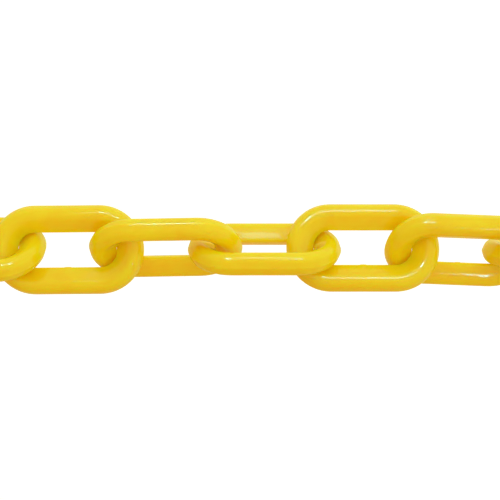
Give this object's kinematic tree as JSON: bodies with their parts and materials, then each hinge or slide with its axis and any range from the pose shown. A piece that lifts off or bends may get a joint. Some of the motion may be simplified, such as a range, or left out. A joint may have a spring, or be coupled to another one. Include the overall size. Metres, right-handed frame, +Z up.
{
  "type": "plastic barrier chain",
  "caption": "Length of yellow plastic barrier chain lying straight with a gradual twist; oval links swing in each other's eyes and a hook fastens either end.",
  "frame": {"origin": "under the middle of the chain's bounding box, on the surface it lies on", "axes": "+X along the chain, +Z up, +Y across the chain"},
  "size_m": [0.279, 0.0298, 0.026],
  "materials": {
    "yellow_plastic": "glossy injection-moulded polyethylene, slightly translucent"
  },
  "bodies": {
    "link_01": {"link_01": "yellow_plastic"},
    "link_02": {"link_02": "yellow_plastic"},
    "link_03": {"link_03": "yellow_plastic"},
    "link_04": {"link_04": "yellow_plastic"},
    "link_05": {"link_05": "yellow_plastic"},
    "link_06": {"link_06": "yellow_plastic"},
    "link_07": {"link_07": "yellow_plastic"},
    "link_08": {"link_08": "yellow_plastic"},
    "link_09": {"link_09": "yellow_plastic"}
  },
  "joints": [
    {"name": "link_04_swing", "type": "hinge", "parent": "link_05", "child": "link_04", "pos_m": [-0.01867, 0.00161, 0.013], "axis": [0.0148, -0.8479, 0.5299], "range_deg": [-45, 75]},
    {"name": "link_03_swing", "type": "hinge", "parent": "link_04", "child": "link_03", "pos_m": [-0.04786, 0.00138, 0.013], "axis": [0.0006, -0.0698, 0.9976], "range_deg": [-50, 40]},
    {"name": "link_02_swing", "type": "hinge", "parent": "link_03", "child": "link_02", "pos_m": [-0.07707, 0.00104, 0.013], "axis": [0.0136, 0.777, 0.6293], "range_deg": [-60, 40]},
    {"name": "link_01_swing", "type": "hinge", "parent": "link_02", "child": "link_01", "pos_m": [-0.10626, 0.00203, 0.013], "axis": [0, -0.1392, 0.9903], "range_deg": [-75, 50]},
    {"name": "link_06_swing", "type": "hinge", "parent": "link_05", "child": "link_06", "pos_m": [0.01873, 0.00161, 0.013], "axis": [0, -0.1822, -0.9833], "range_deg": [-20, 55]},
    {"name": "link_07_swing", "type": "hinge", "parent": "link_06", "child": "link_07", "pos_m": [0.04793, 0.00191, 0.013], "axis": [0.0276, 0.6878, -0.7254], "range_deg": [-40, 45]},
    {"name": "link_08_swing", "type": "hinge", "parent": "link_07", "child": "link_08", "pos_m": [0.07711, 0.00027, 0.013], "axis": [0.0308, 0.9811, 0.1908], "range_deg": [-60, 75]},
    {"name": "link_09_swing", "type": "hinge", "parent": "link_08", "child": "link_09", "pos_m": [0.10629, -0.00074, 0.013], "axis": [0, 0, 1], "range_deg": [-75, 75]}
  ]
}
